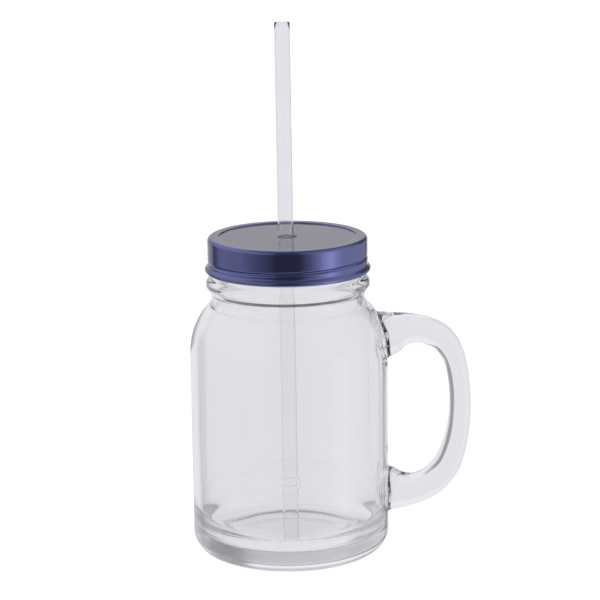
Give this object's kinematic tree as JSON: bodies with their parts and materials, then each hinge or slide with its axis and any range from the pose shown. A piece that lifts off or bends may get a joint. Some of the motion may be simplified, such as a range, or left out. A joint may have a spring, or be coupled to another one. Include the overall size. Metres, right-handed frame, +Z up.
{
  "type": "handled drinking jar with straw",
  "caption": "Clear glass mason jar with a side handle, closed by a blue screw band over a pierced lid disc, with a clear straw standing through the hole.",
  "frame": {"origin": "on the jar's axis, in the plane of the ring the glass stands on", "axes": "+Z up along the jar's axis, +X towards the handle, -Y towards the raised oval on the front"},
  "size_m": [0.1265, 0.0893, 0.2385],
  "materials": {
    "glass": "clear pressed glass, polished",
    "blue_lacquer": "high gloss translucent lacquer over tinplate",
    "compound": "matte",
    "straw_plastic": "clear"
  },
  "bodies": {
    "jar": {"jar_body": "glass", "handle": "glass"},
    "lid": {"lid_disc": "blue_lacquer", "sealing_ring": "compound"},
    "band": {"screw_band": "blue_lacquer"},
    "tube": {"straw": "straw_plastic"}
  },
  "joints": [
    {"name": "lid_lift", "type": "slide", "parent": "jar", "child": "lid", "axis": [0, 0, 1], "range_m": [0, 0.0153]},
    {"name": "band_turn", "type": "hinge", "parent": "lid", "child": "band", "pos_m": [0, 0, 0.137], "axis": [0, 0, 1], "range_deg": [0, 1080]},
    {"name": "straw_pull", "type": "slide", "parent": "lid", "child": "tube", "axis": [-0.0051, 0.1908, 0.9816], "range_m": [0, 0.136]}
  ],
  "couplings": [
    {"joint": "lid_lift", "follows": "band_turn", "m_per_rad": 0.00080851}
  ]
}
